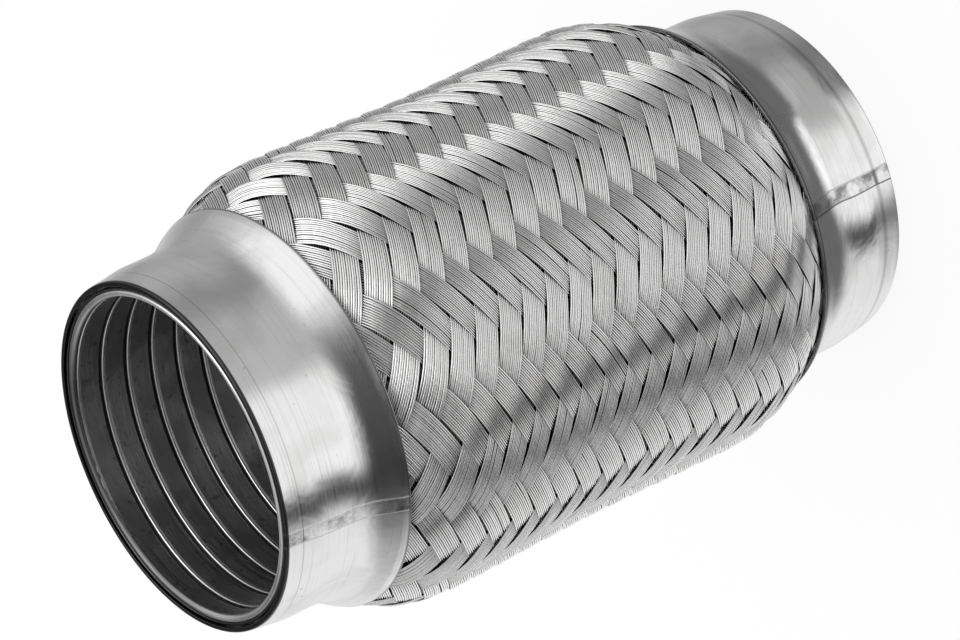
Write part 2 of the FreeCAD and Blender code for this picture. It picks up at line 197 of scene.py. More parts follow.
class Nodes:
    """Node tree that is filled with short calls, laid out in rows of a few nodes."""

    in_row: int = 8
    spacing: tuple[int, int] = (180, -220)

    def __init__(self, tree: bpy.types.NodeTree) -> None:
        """Starts with an empty tree.

        Args:
            tree: Tree of a material, a world or a group.
        """
        self.tree = tree
        self.count = 0
        tree.nodes.clear()

    def add(self, kind: str, inputs: dict | None = None, **settings: object) -> bpy.types.Node:
        """Adds a node.

        Args:
            kind: Blender's name of the node type, without its ShaderNode prefix.
            inputs: Value or output socket for each input, by name or number.
            settings: Values of the node's own properties.

        Returns:
            The node.
        """
        node = self.tree.nodes.new(kind if kind.startswith("NodeGroup") else f"ShaderNode{kind}")
        row, column = divmod(self.count, self.in_row)
        node.location = (self.spacing[0] * column, self.spacing[1] * row)
        self.count += 1
        for name, value in settings.items():
            setattr(node, name, value)
        for name, value in (inputs or {}).items():
            if isinstance(value, bpy.types.NodeSocket):
                self.tree.links.new(value, node.inputs[name])
            else:
                node.inputs[name].default_value = value
        return node

    def math(self, operation: str, first: object, second: object = 0.0,
             third: object = 0.0) -> bpy.types.NodeSocket:
        """Adds a Math node.

        Args:
            operation: Blender's name of the operation.
            first: First number or socket.
            second: Second number or socket.
            third: Third number or socket.

        Returns:
            The node's result.
        """
        node = self.add("Math", {0: first, 1: second, 2: third}, operation=operation)
        return node.outputs[0]

    def fade(self, value: bpy.types.NodeSocket, span: Span) -> bpy.types.NodeSocket:
        """Runs smoothly from one number to another while a value crosses a span.

        Args:
            value: Socket of the value.
            span: The span and its two numbers.

        Returns:
            The result.
        """
        node = self.add("MapRange", {"Value": value, "From Min": span.start,
                                     "From Max": span.stop, "To Min": span.low,
                                     "To Max": span.high},
                        interpolation_type="SMOOTHSTEP")
        return node.outputs[0]

    def noise(self, place: bpy.types.NodeSocket, scale: object, detail: float,
              roughness: float = 0.5, distortion: float = 0.0) -> bpy.types.NodeSocket:
        """Adds a noise texture.

        Args:
            place: Coordinates of the pattern.
            scale: Number of clouds a metre, or its socket.
            detail: Number of finer layers.
            roughness: Weight of the finer layers.
            distortion: How much the clouds are swirled.

        Returns:
            The pattern, 0 to 1.
        """
        node = self.add("TexNoise", {"Vector": place, "Scale": scale, "Detail": detail,
                                     "Roughness": roughness, "Distortion": distortion})
        return node.outputs[0]

    def depth(self, place: bpy.types.NodeSocket) -> bpy.types.NodeSocket:
        """Measures the depth from the nearer rim.

        Args:
            place: Object coordinates.

        Returns:
            The depth, in metres.
        """
        height = self.add("SeparateXYZ", {0: place}).outputs[2]
        return self.math("MINIMUM", height, self.math("SUBTRACT", LENGTH, height))

    def mix(self, share: object, first: object, second: object) -> bpy.types.NodeSocket:
        """Mixes two colours.

        Args:
            share: Share of the second colour.
            first: First colour or socket.
            second: Second colour or socket.

        Returns:
            The mixed colour.
        """
        node = self.add("Mix", {0: share, 6: first, 7: second}, data_type="RGBA")
        return node.outputs[2]

    def ramp(self, value: bpy.types.NodeSocket,
             stops: list[tuple[float, float]]) -> bpy.types.NodeSocket:
        """Adds a grey colour ramp.

        Args:
            value: Socket of the place on the ramp, 0 to 1.
            stops: Place and grey level of each stop.

        Returns:
            The ramp's colour.
        """
        node = self.add("ValToRGB", {0: value})
        elements = node.color_ramp.elements
        node.color_ramp.interpolation = "B_SPLINE"
        while len(elements) < len(stops):
            elements.new(0.5)
        for element, (place, level) in zip(elements, stops):
            element.position = place
            element.color = (level, level, level, 1)
        return node.outputs[0]


def grey(level: float, warmth: float = 0.0) -> tuple[float, float, float, float]:
    """Colour of a plain metal.

    Args:
        level: Lightness, 0 to 1.
        warmth: Share by which red is raised and blue lowered.

    Returns:
        Red, green, blue and alpha.
    """
    return (level * (1 + warmth), level, level * (1 - warmth), 1.0)


def make_group(name: str, inputs: list[tuple[str, str]], outputs: list[tuple[str, str]]
               ) -> tuple[Nodes, bpy.types.Node, bpy.types.Node]:
    """Starts a node group.

    Args:
        name: Name of the group.
        inputs: Name and socket type of each input.
        outputs: Name and socket type of each output.

    Returns:
        The group's nodes, its input node and its output node.
    """
    tree = bpy.data.node_groups.new(name, "ShaderNodeTree")
    for socket, kind in inputs:
        tree.interface.new_socket(socket, in_out="INPUT", socket_type=kind)
    for socket, kind in outputs:
        tree.interface.new_socket(socket, in_out="OUTPUT", socket_type=kind)
    nodes = Nodes(tree)
    return nodes, nodes.add("NodeGroupInput"), nodes.add("NodeGroupOutput")


def rolled_grain() -> bpy.types.NodeTree:
    """Fine rings left by rolling and wiping, with cloudy smudges.

    Returns:
        Group with the outputs Rings, Smudge and Specks, each 0 to 1.
    """
    name = "rolled_grain"
    if name in bpy.data.node_groups:
        return bpy.data.node_groups[name]
    nodes, inside, outside = make_group(
        name,
        [("Place", "NodeSocketVector"), ("Fineness", "NodeSocketFloat")],
        [(socket, "NodeSocketFloat") for socket in ("Rings", "Smudge", "Specks")],
    )
    place, fineness = inside.outputs["Place"], inside.outputs["Fineness"]
    stretched = nodes.add("Mapping", {"Vector": place, "Scale": (0.014, 0.014, 1.0)}).outputs[0]
    rings = nodes.noise(stretched, scale=fineness, detail=4.0, roughness=0.65)
    smudge = nodes.noise(place, scale=95.0, detail=3.0, roughness=0.55, distortion=0.6)
    specks = nodes.noise(place, scale=900.0, detail=2.0)
    for socket, value in (("Rings", rings), ("Smudge", smudge), ("Specks", specks)):
        nodes.tree.links.new(value, outside.inputs[socket])
    return nodes.tree


def weld_band(wander: float = 0.9 * MM, rim: Span = Span(0.3, 1.0, 1.0, 0.0),
              middle: Span = Span(0.8, 1.05, 1.0, 0.0)) -> bpy.types.NodeTree:
    """Rolled-down weld along the axis at one azimuth: two fine edges and a dull band between.

    Args:
        wander: How far the weld strays from a straight line, from side to side.
        rim: Fade of an edge, in shares of its width.
        middle: Fade of the band, in shares of its half width.

    Returns:
        Group with the outputs Edges, Near Edge (the one of smaller azimuth) and Band, each 0 to 1.
    """
    name = "weld_band"
    if name in bpy.data.node_groups:
        return bpy.data.node_groups[name]
    nodes, inside, outside = make_group(
        name,
        [("Place", "NodeSocketVector"), ("Azimuth", "NodeSocketFloat"),
         ("Half Width", "NodeSocketFloat"), ("Edge", "NodeSocketFloat")],
        [(socket, "NodeSocketFloat") for socket in ("Edges", "Near Edge", "Band")],
    )
    place = inside.outputs["Place"]
    back = nodes.math("MULTIPLY", inside.outputs["Azimuth"], -1.0)
    turned = nodes.add("VectorRotate", {"Vector": place, "Angle": back},
                       rotation_type="Z_AXIS")
    parts = nodes.add("SeparateXYZ", {0: turned.outputs[0]})
    stray = nodes.noise(place, scale=120.0, detail=1.0)
    signed = nodes.math("MULTIPLY_ADD", stray, wander, parts.outputs[1])
    signed = nodes.math("SUBTRACT", signed, wander / 2)
    aside = nodes.math("ABSOLUTE", signed)
    half = inside.outputs["Half Width"]
    off_edge = nodes.math("ABSOLUTE", nodes.math("SUBTRACT", aside, half))
    edge = nodes.fade(nodes.math("DIVIDE", off_edge, inside.outputs["Edge"]), rim)
    band = nodes.fade(nodes.math("DIVIDE", aside, half), middle)
    front = nodes.math("GREATER_THAN", parts.outputs[0], 0.0)
    near = nodes.math("MULTIPLY", edge, nodes.math("LESS_THAN", signed, 0.0))
    for socket, value in (("Edges", edge), ("Near Edge", near), ("Band", band)):
        nodes.tree.links.new(nodes.math("MULTIPLY", value, front), outside.inputs[socket])
    return nodes.tree


class Finish:
    """Finish of a piece, with the nodes that all steel finishes share.

    Its fineness is the number of wiped rings a metre.
    """

    name: str = "steel"
    fineness: float = 3000.0

    def start(self) -> tuple[bpy.types.Material, Nodes, bpy.types.NodeSocket]:
        """Starts a material.

        Returns:
            The material, its nodes and the Object coordinates.
        """
        material = bpy.data.materials.new(self.name)
        material.use_nodes = True
        nodes = Nodes(material.node_tree)
        place = nodes.add("TexCoord").outputs["Object"]
        return material, nodes, place

    def grain(self, nodes: Nodes, place: bpy.types.NodeSocket) -> bpy.types.NodeOutputs:
        """Adds the grain of rolled sheet.

        Args:
            nodes: The material's nodes.
            place: Object coordinates.

        Returns:
            The rings, the smudge and the specks, each 0 to 1.
        """
        group = nodes.add("Group", {"Place": place, "Fineness": self.fineness},
                          node_tree=rolled_grain())
        return group.outputs

    def finish(self, nodes: Nodes, colour: bpy.types.NodeSocket,
               roughness: bpy.types.NodeSocket,
               bumps: list[tuple[bpy.types.NodeSocket, Relief]]) -> None:
        """Adds the shader and the surface output.

        Args:
            nodes: The material's nodes.
            colour: Base colour.
            roughness: Roughness.
            bumps: Height and relief of each bump, the coarsest first.
        """
        shader = nodes.add("BsdfPrincipled", {"Base Color": colour, "Roughness": roughness,
                                              "Metallic": 1.0})
        normal = None
        for height, relief in bumps:
            bump = nodes.add("Bump", {"Height": height, "Strength": relief.strength,
                                      "Distance": relief.height})
            if normal is not None:
                nodes.tree.links.new(normal, bump.inputs["Normal"])
            normal = bump.outputs[0]
        if normal is not None:
            nodes.tree.links.new(normal, shader.inputs["Normal"])
        output = nodes.add("OutputMaterial")
        nodes.tree.links.new(shader.outputs[0], output.inputs["Surface"])


@dataclass(frozen=True)
class CapSteel(Finish):
    """Drawn stainless cap: satin, wiped in rings, with its weld and a few dull patches, and
    painted shade in its crease, beside the weld and at its rim and lip.
    """

    name: str = "cap_steel"
    fineness: float = 3200.0
    light: float = 0.88
    dull: float = 0.62
    dull_share: float = 0.45
    patches: Span = Span(0.38, 0.70)
    wiped: float = 0.42
    wipes: Span = Span(0.50, 0.72, 0.0, 0.22)
    speckled: float = 0.3
    speckles: Span = Span(0.70, 0.78, 0.0, 0.35)
    weld: float = math.radians(-130)
    weld_half: float = 1.2 * MM
    weld_edge: float = 0.14 * MM
    weld_stain: float = 0.14
    blots: Span = Span(0.42, 0.64, 0.0, 0.85)
    # Grey of the painted shade in the crease and beside the weld's near edge.
    painted_shade: float = 0.10
    edge_shade: float = 0.2
    crease: float = 2.8 * MM
    crease_width: float = 0.15 * MM
    crease_depth: float = 0.55
    crease_plain: float = 0.7
    crease_on_weld: float = 0.9
    # Grey of the painted shade at the rim and at the lip's edge.
    rim_lip_shade: float = 0.03
    rim: float = 0.42 * MM
    rim_share: float = 0.95
    rim_fade: float = 1.3
    lip: float = 19.0 * MM
    lip_share: float = 0.7
    lip_fade: float = 0.3 * MM
    satin: Span = Span(0.3, 0.7, 0.11, 0.19)
    patch_roughness: float = 0.06
    trim_roughness: float = 0.12
    dents: Relief = Relief(0.5, 0.30 * MM)
    weld_dip: Relief = Relief(-0.4, 0.06 * MM)
    wipe_relief: Relief = Relief(0.4, 0.012 * MM)
    weld_ridges: Relief = Relief(0.9, 0.09 * MM)
    crease_dip: Relief = Relief(-0.4, 0.04 * MM)

    def material(self) -> bpy.types.Material:
        """Builds the material.

        Returns:
            The material.
        """
        material, nodes, place = self.start()
        rings, smudge, specks = self.grain(nodes, place)
        weld = nodes.add("Group", {"Place": place, "Azimuth": self.weld,
                                   "Half Width": self.weld_half, "Edge": self.weld_edge},
                         node_tree=weld_band())
        edges, near_edge, band = weld.outputs
        patches = nodes.fade(smudge, self.patches)
        colour = nodes.mix(nodes.math("MULTIPLY", patches, self.dull_share), grey(self.light),
                           grey(self.dull, warmth=0.01))
        colour = nodes.mix(nodes.fade(rings, self.wipes), colour, grey(self.wiped))
        colour = nodes.mix(nodes.fade(specks, self.speckles), colour, grey(self.speckled))
        stain = nodes.noise(place, scale=150.0, detail=6.0, roughness=0.72)
        blots = nodes.math("MULTIPLY", band, nodes.fade(stain, self.blots))
        colour = nodes.mix(blots, colour, grey(self.weld_stain))
        depth = nodes.depth(place)
        # Painted shade: the crease is darkened, more where it crosses the weld.
        away = nodes.math("ABSOLUTE", nodes.math("SUBTRACT", depth, self.crease))
        crease = nodes.fade(away, Span(0.0, self.crease_width, self.crease_depth, 0.0))
        shade_level = nodes.math("MULTIPLY_ADD", band, self.crease_on_weld, self.crease_plain)
        colour = nodes.mix(nodes.math("MULTIPLY", crease, shade_level), colour, grey(self.painted_shade))
        # Painted shadow along the weld's near edge.
        shaded = nodes.math("MULTIPLY", near_edge, self.edge_shade)
        colour = nodes.mix(shaded, colour, grey(self.painted_shade))
        # Painted shade: the rim ring and the lip's edge are darkened nearly to black.
        at_rim = nodes.fade(depth, Span(self.rim, self.rim_fade * self.rim, self.rim_share, 0.0))
        at_lip = nodes.fade(depth, Span(self.lip - self.lip_fade, self.lip, 0.0, self.lip_share))
        rim_lip_shade = nodes.math("ADD", at_rim, at_lip)
        colour = nodes.mix(rim_lip_shade, colour, grey(self.rim_lip_shade))
        rough = nodes.math("ADD", nodes.fade(rings, self.satin),
                           nodes.math("MULTIPLY", patches, self.patch_roughness))
        rough = nodes.math("ADD", rough, nodes.math("MULTIPLY", rim_lip_shade, self.trim_roughness))
        self.finish(nodes, colour, rough,
                    [(smudge, self.dents), (band, self.weld_dip), (rings, self.wipe_relief),
                     (edges, self.weld_ridges), (crease, self.crease_dip)])
        return material


@dataclass(frozen=True)
class WireSteel(Finish):
    """Drawn bright wire, with painted shade where a strand dives under its neighbours and on the
    wires' flanks.
    """

    name: str = "braid_wire"
    light: float = 1.0
    toned: float = 0.90
    smudged: float = 0.6
    smudges: Span = Span(0.5, 0.75, 0.0, 0.25)
    sunk: float = 0.16
    sinking: Span = Span(0.25, 1.0, 0.0, 0.85)
    gap_shade: float = 0.04
    flanks: Span = Span(0.27, 0.40, 0.0, 0.9)
    roughness: float = 0.14
    tone_roughness: float = 0.06

    def material(self) -> bpy.types.Material:
        """Builds the material.

        Returns:
            The material.
        """
        material, nodes, place = self.start()
        sink, tone, flank = (nodes.add("Attribute", attribute_name=name).outputs["Fac"]
                             for name in ("sink", "tone", "flank"))
        smudge = nodes.noise(place, scale=160.0, detail=3.0)
        colour = nodes.mix(tone, grey(self.light), grey(self.toned, warmth=0.01))
        colour = nodes.mix(nodes.fade(smudge, self.smudges), colour,
                           grey(self.smudged, warmth=0.015))
        # Painted shade where the strand dives under its neighbours.
        colour = nodes.mix(nodes.fade(sink, self.sinking), colour, grey(self.sunk))
        # Painted shade on the wires' flanks, in the gaps between wires.
        colour = nodes.mix(nodes.fade(flank, self.flanks), colour, grey(self.gap_shade))
        rough = nodes.math("MULTIPLY", tone, self.tone_roughness)
        rough = nodes.math("ADD", rough, self.roughness)
        self.finish(nodes, colour, rough, [])
        return material


@dataclass(frozen=True)
class BellowsSteel(Finish):
    """Thin bellows sheet, coloured near black all over as painted shade, darkest at its cuffs,
    with smudges.
    """

    name: str = "bellows_steel"
    fineness: float = 3800.0
    # Greys of the painted shade: at the cuffs, and further in.
    light: float = 0.10
    deep: float = 0.22
    cuff: float = 2.0 * MM
    smudges: Span = Span(0.45, 0.7, 0.0, 0.4)
    satin: Span = Span(0.3, 0.7, 0.2, 0.38)
    scratches: Relief = Relief(0.3, 0.02 * MM)

    def material(self) -> bpy.types.Material:
        """Builds the material.

        Returns:
            The material.
        """
        material, nodes, place = self.start()
        rings, smudge, _ = self.grain(nodes, place)
        # Painted shade: near black, darkest at the cuff in each mouth.
        shade = nodes.fade(nodes.depth(place), Span(self.cuff, 3 * self.cuff))
        colour = nodes.mix(shade, grey(self.light), grey(self.deep))
        colour = nodes.mix(nodes.fade(smudge, self.smudges), colour, grey(self.deep))
        self.finish(nodes, colour, nodes.fade(rings, self.satin), [(rings, self.scratches)])
        return material


@dataclass(frozen=True)
class LinerSteel(Finish):
    """Rolled strip of the liner, dull grey with scuffs and specks along its bands, lighter at its
    bead crests as polish and painted highlight, with painted shade in its seam recesses.
    """

    name: str = "liner_steel"
    fineness: float = 2600.0
    light: float = 0.60
    scuffed: float = 0.38
    scuffs: Span = Span(0.40, 0.62)
    speckled: float = 0.12
    speckles: Span = Span(0.62, 0.72, 0.0, 0.5)
    polish_and_highlight: float = 0.96
    crest: Span = Span(25.07 * MM, 25.15 * MM, 1.0, 0.0)
    gap_shade: float = 0.06
    recess: Span = Span(25.3 * MM, 25.5 * MM, 0.0, 0.9)
    satin: Span = Span(0.3, 0.7, 0.22, 0.40)
    scuff_roughness: Span = Span(0.4, 0.7, 0.0, 0.1)
    crest_polish: float = -0.12
    dents: Relief = Relief(0.4, 0.2 * MM)
    scratches: Relief = Relief(0.3, 0.02 * MM)

    def material(self) -> bpy.types.Material:
        """Builds the material.

        Returns:
            The material.
        """
        material, nodes, place = self.start()
        rings, smudge, specks = self.grain(nodes, place)
        colour = nodes.mix(nodes.fade(smudge, self.scuffs), grey(self.light), grey(self.scuffed))
        colour = nodes.mix(nodes.fade(specks, self.speckles), colour, grey(self.speckled))
        flat = nodes.add("VectorMath", {0: place, 1: (1.0, 1.0, 0.0)}, operation="MULTIPLY")
        radius = nodes.add("VectorMath", {0: flat.outputs[0]}, operation="LENGTH").outputs["Value"]
        crest = nodes.fade(radius, self.crest)
        # Lighter at the bead crests: rubbed polish, and partly a painted highlight.
        colour = nodes.mix(crest, colour, grey(self.polish_and_highlight))
        # Painted shade in the recess of each seam.
        colour = nodes.mix(nodes.fade(radius, self.recess), colour, grey(self.gap_shade))
        rough = nodes.math("ADD", nodes.fade(rings, self.satin),
                           nodes.fade(smudge, self.scuff_roughness))
        rough = nodes.math("MULTIPLY_ADD", crest, self.crest_polish, rough)
        self.finish(nodes, colour, rough, [(smudge, self.dents), (rings, self.scratches)])
        return material


@dataclass(frozen=True)
class EdgeSteel(Finish):
    """Rolled edge of the liner, rubbed bright, with painted shade on its back half."""

    name: str = "edge_steel"
    light: float = 0.95
    smudged: float = 0.5
    smudges: Span = Span(0.5, 0.7, 0.0, 0.5)
    shade_level: float = 0.10
    back: Span = Span(4 * MM, 20 * MM, 0.0, 0.85)
    satin: Span = Span(0.3, 0.7, 0.28, 0.42)
    dents: Relief = Relief(0.4, 0.1 * MM)

    def material(self) -> bpy.types.Material:
        """Builds the material.

        Returns:
            The material.
        """
        material, nodes, place = self.start()
        rings, smudge, _ = self.grain(nodes, place)
        colour = nodes.mix(nodes.fade(smudge, self.smudges), grey(self.light), grey(self.smudged))
        back = nodes.add("SeparateXYZ", {0: place}).outputs[1]
        # Painted shade: the back half of the ring is darkened.
        colour = nodes.mix(nodes.fade(back, self.back), colour, grey(self.shade_level))
        self.finish(nodes, colour, nodes.fade(rings, self.satin), [(smudge, self.dents)])
        return material


@dataclass
class PipeSizes:
    """Sizes that several pieces share, in metres."""

    length: float = LENGTH
    rim_outside: float = 27.51 * MM
    neck_outside: float = 28.33 * MM
    collar_outside: float = 31.73 * MM
    cap_wall: float = 0.75 * MM
    mouth_taper: float = 5.5 * MM
    neck_depth: float = 14.0 * MM
    flare_end: float = 18.6 * MM
    collar_edge: float = 19.5 * MM
    weave_edge: float = 18.5 * MM
    shoulder_depth: float = 12.6 * MM
    shoulder_radius: float = 35.46 * MM
    middle_radius: float = 34.98 * MM
    seat_radius: float = 30.84 * MM
    seat_reach: float = 0.6 * MM
    seat_slope: float = 0.9

    def braid_outside(self, height: np.ndarray) -> np.ndarray:
        """Outside radius of the braid.

        Args:
            height: Heights above the lower rim.

        Returns:
            The radius at each height.
        """
        depth = np.minimum(height, self.length - height)
        rise = np.clip((depth - self.collar_edge) / self.shoulder_depth, 0, 1)
        swell = self.shoulder_radius - (self.shoulder_radius - self.seat_radius) * (1 - rise) ** 2
        shoulder = self.collar_edge + self.shoulder_depth
        fall = np.clip((depth - shoulder) / (self.length / 2 - shoulder), 0, 1)
        waist = (self.shoulder_radius - self.middle_radius) * (1 - np.cos(math.pi * fall)) / 2
        under_flare = np.clip(self.collar_edge - self.seat_reach - depth, 0, None)
        return swell - waist - self.seat_slope * under_flare


def rounded_path(corners: list[tuple[float, float, float]], step: float) -> list[Vector]:
    """Closed path through corners, each rounded with an arc.

    Args:
        corners: Radius, height and bend of each corner, in order.
        step: Greatest angle between two points of an arc.

    Returns:
        The points of the path, in order.
    """
    path = []
    count = len(corners)
    for index, (across, along, bend) in enumerate(corners):
        corner = Vector((across, along))
        before = (Vector(corners[index - 1][:2]) - corner).normalized()
        after = (Vector(corners[(index + 1) % count][:2]) - corner).normalized()
        half = before.angle(after) / 2
        if bend <= 0 or half > STRAIGHT:
            path.append(corner)
            continue
        reach = bend / math.tan(half)
        centre = corner + (before + after).normalized() * (bend / math.sin(half))
        first = corner + before * reach - centre
        sweep = first.angle_signed(corner + after * reach - centre)
        pieces = max(1, math.ceil(abs(sweep) / step))
        for number in range(pieces + 1):
            turn = -sweep * number / pieces
            path.append(centre + Vector((
                first.x * math.cos(turn) - first.y * math.sin(turn),
                first.x * math.sin(turn) + first.y * math.cos(turn))))
    return path


def spaced(path: list[Vector], step: float) -> list[Vector]:
    """Adds points to the long runs of a closed path.

    Args:
        path: Points in order.
        step: Length that a run between two points shouldn't pass by much.

    Returns:
        The points with the added ones.
    """
    points = []
    for point, following in zip(path, path[1:] + path[:1]):
        pieces = max(1, round((following - point).length / step))
        points += [point.lerp(following, number / pieces) for number in range(pieces)]
    return points


def from_rim(path: list[Vector], end: End) -> list[Vector]:
    """Turns the depths of an outline into heights.

    Args:
        path: Radius and depth of its points.
        end: End of the pipe whose rim the depths start from.

    Returns:
        Radius and height of the points.
    """
    if end is End.LOWER:
        return path
    return [Vector((point.x, LENGTH - point.y)) for point in path]


def section(name: str, path: list[Vector]) -> bpy.types.Object:
    """Closed outline of a wall, on the plane through the axis and +X.

    Args:
        name: Name of the piece.
        path: Radius and height of its points, in order.

    Returns:
        The outline.
    """
    points = [point for point, last in zip(path, path[-1:] + path)
              if (point - last).length > MERGE]
    bpy.ops.object.select_all(action="DESELECT")
    bpy.ops.mesh.primitive_circle_add(vertices=len(points), radius=points[0].x)
    piece = bpy.context.object
    piece.name = name
    move_points(piece, np.array([(point.x, 0.0, point.y) for point in points]))
    return piece


def lathe(name: str, path: list[Vector], steps: int) -> bpy.types.Object:
    """Turns a closed outline once round the axis.

    Args:
        name: Name of the piece.
        path: Radius and height of its points, in order.
        steps: Number of faces round the axis.

    Returns:
        The turned wall, closed, with its faces outwards.
    """
    piece = section(name, path)
    apply_modifier(piece, "SCREW", axis="Z", angle=math.tau, steps=steps, render_steps=steps,
                   use_merge_vertices=True, merge_threshold=MERGE)
    recalculate(piece)
    return piece


@dataclass
class EndCap:
    """Drawn end cap: neck drawn in at the rim, flare and lip, with its slight waviness.

    Of two bends the first is the one outside the wall and the second the one inside it.
    """

    end: End
    sizes: PipeSizes
    finish: CapSteel
    steps: int = 224
    rim_bends: tuple[float, float] = (0.32 * MM, 0.12 * MM)
    taper_bend: float = 9.0 * MM
    neck_bends: tuple[float, float] = (12.0 * MM, 12.7 * MM)
    flare_bends: tuple[float, float] = (2.0 * MM, 1.0 * MM)
    lip_bends: tuple[float, float] = (0.16 * MM, 0.2 * MM)
    lip_lean: float = 0.62 * MM
    lip_rise: float = 0.4 * MM
    inside_shift: float = 0.25 * MM
    arc_step: float = math.radians(7)
    point_step: float = 0.9 * MM
    lobes: tuple[int, ...] = (2, 3, 5, 7, 11, 16)
    twist: float = 220.0
    waviness: float = 0.06 * MM
    still: float = 3 * MM
    seed: int = 3

    def profile(self) -> list[Vector]:
        """Closed outline of the wall, radius against depth.

        Returns:
            Points in order round the wall.
        """
        s = self.sizes
        wall = s.cap_wall
        shift = self.inside_shift
        outside = [
            (s.rim_outside, 0.0, self.rim_bends[0]),
            (s.neck_outside, s.mouth_taper, self.taper_bend),
            (s.neck_outside, s.neck_depth, self.neck_bends[0]),
            (s.collar_outside - self.lip_lean, s.flare_end - self.lip_rise, self.flare_bends[0]),
            (s.collar_outside, s.collar_edge, self.lip_bends[0]),
        ]
        inside = [
            (s.collar_outside - wall, s.collar_edge, self.lip_bends[1]),
            (s.collar_outside - wall, s.flare_end + shift, self.flare_bends[1]),
            (s.neck_outside - wall, s.neck_depth + shift, self.neck_bends[1]),
            (s.neck_outside - wall, s.mouth_taper, self.taper_bend),
            (s.rim_outside - wall, 0.0, self.rim_bends[1]),
        ]
        return spaced(rounded_path(outside + inside, self.arc_step), self.point_step)

    def build(self) -> bpy.types.Object:
        """Turns the outline round the axis and dresses it.

        Returns:
            The finished piece.
        """
        path = from_rim(self.profile(), self.end)
        piece = lathe(f"{self.end.value}_end_cap_steel", path, self.steps)
        self.hammer(piece)
        coat(piece, self.finish.material())
        smooth(piece)
        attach(piece, ROOT)
        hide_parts(f"{self.end.value}_end_cap")
        return piece

    def hammer(self, piece: bpy.types.Object) -> None:
        """Gives the wall the low waves of a drawn sheet, none of them at its rim or lip.

        Args:
            piece: The turned wall.
        """
        draw = random.Random(self.seed)
        places = points_of(piece)
        angle = np.arctan2(places[:, 1], places[:, 0])
        depth = np.minimum(places[:, 2], self.sizes.length - places[:, 2])
        wave = np.zeros(len(places))
        for lobes in self.lobes:
            phase = draw.uniform(0, math.tau)
            twist = draw.uniform(-self.twist, self.twist)
            wave += np.sin(lobes * angle + phase + twist * depth) / lobes
        hold = np.clip(depth / self.still, 0, 1)
        hold *= np.clip((self.sizes.collar_edge - depth) / self.still, 0, 1)
        radius = np.hypot(places[:, 0], places[:, 1])
        share = 1 + self.waviness * wave * hold / radius
        places[:, 0] *= share
        places[:, 1] *= share
        move_points(piece, places)


@dataclass
class Bellows:
    """Corrugated tube under the braid, with a rounded cuff edge in each mouth."""

    sizes: PipeSizes
    finish: BellowsSteel
    inside: float = 26.16 * MM
    wall: float = 0.35 * MM
    wave_height: float = 6.4 * MM
    wave_pitch: float = 6.2 * MM
    waves: int = 11
    setback: float = 0.3 * MM
    edge_bend: float = 0.16 * MM
    arc_step: float = math.radians(30)
    sharp: float = math.radians(50)
    steps: int = 112

    def profile(self) -> list[Vector]:
        """Closed outline of the wall, radius against height.

        Returns:
            Points in order: up the outer side, and down the inner side.
        """
        root = self.inside + self.wall
        crest = root + self.wave_height
        under = crest - self.wall
        wide = self.wave_pitch / 4 + self.wall / 2
        narrow = self.wave_pitch / 4 - self.wall / 2
        low, high = self.setback, self.sizes.length - self.setback
        first = (self.sizes.length - (self.waves - 1) * self.wave_pitch) / 2
        middles = [first + number * self.wave_pitch for number in range(self.waves)]
        outer = [(root, low, self.edge_bend)]
        for middle in middles:
            outer += [(root, middle - wide, narrow), (crest, middle - wide, wide),
                      (crest, middle + wide, wide), (root, middle + wide, narrow)]
        outer.append((root, high, self.edge_bend))
        inner = [(self.inside, high, self.edge_bend)]
        for middle in reversed(middles):
            inner += [(self.inside, middle + narrow, wide), (under, middle + narrow, narrow),
                      (under, middle - narrow, narrow), (self.inside, middle - narrow, wide)]
        inner.append((self.inside, low, self.edge_bend))
        return rounded_path(outer + inner, self.arc_step)

    def build(self) -> bpy.types.Object:
        """Turns the outline round the axis and dresses it.

        Returns:
            The finished piece.
        """
        piece = lathe("bellows_sheet", self.profile(), self.steps)
        coat(piece, self.finish.material())
        smooth(piece, self.sharp)
        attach(piece, ROOT)
        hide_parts("bellows")
        return piece


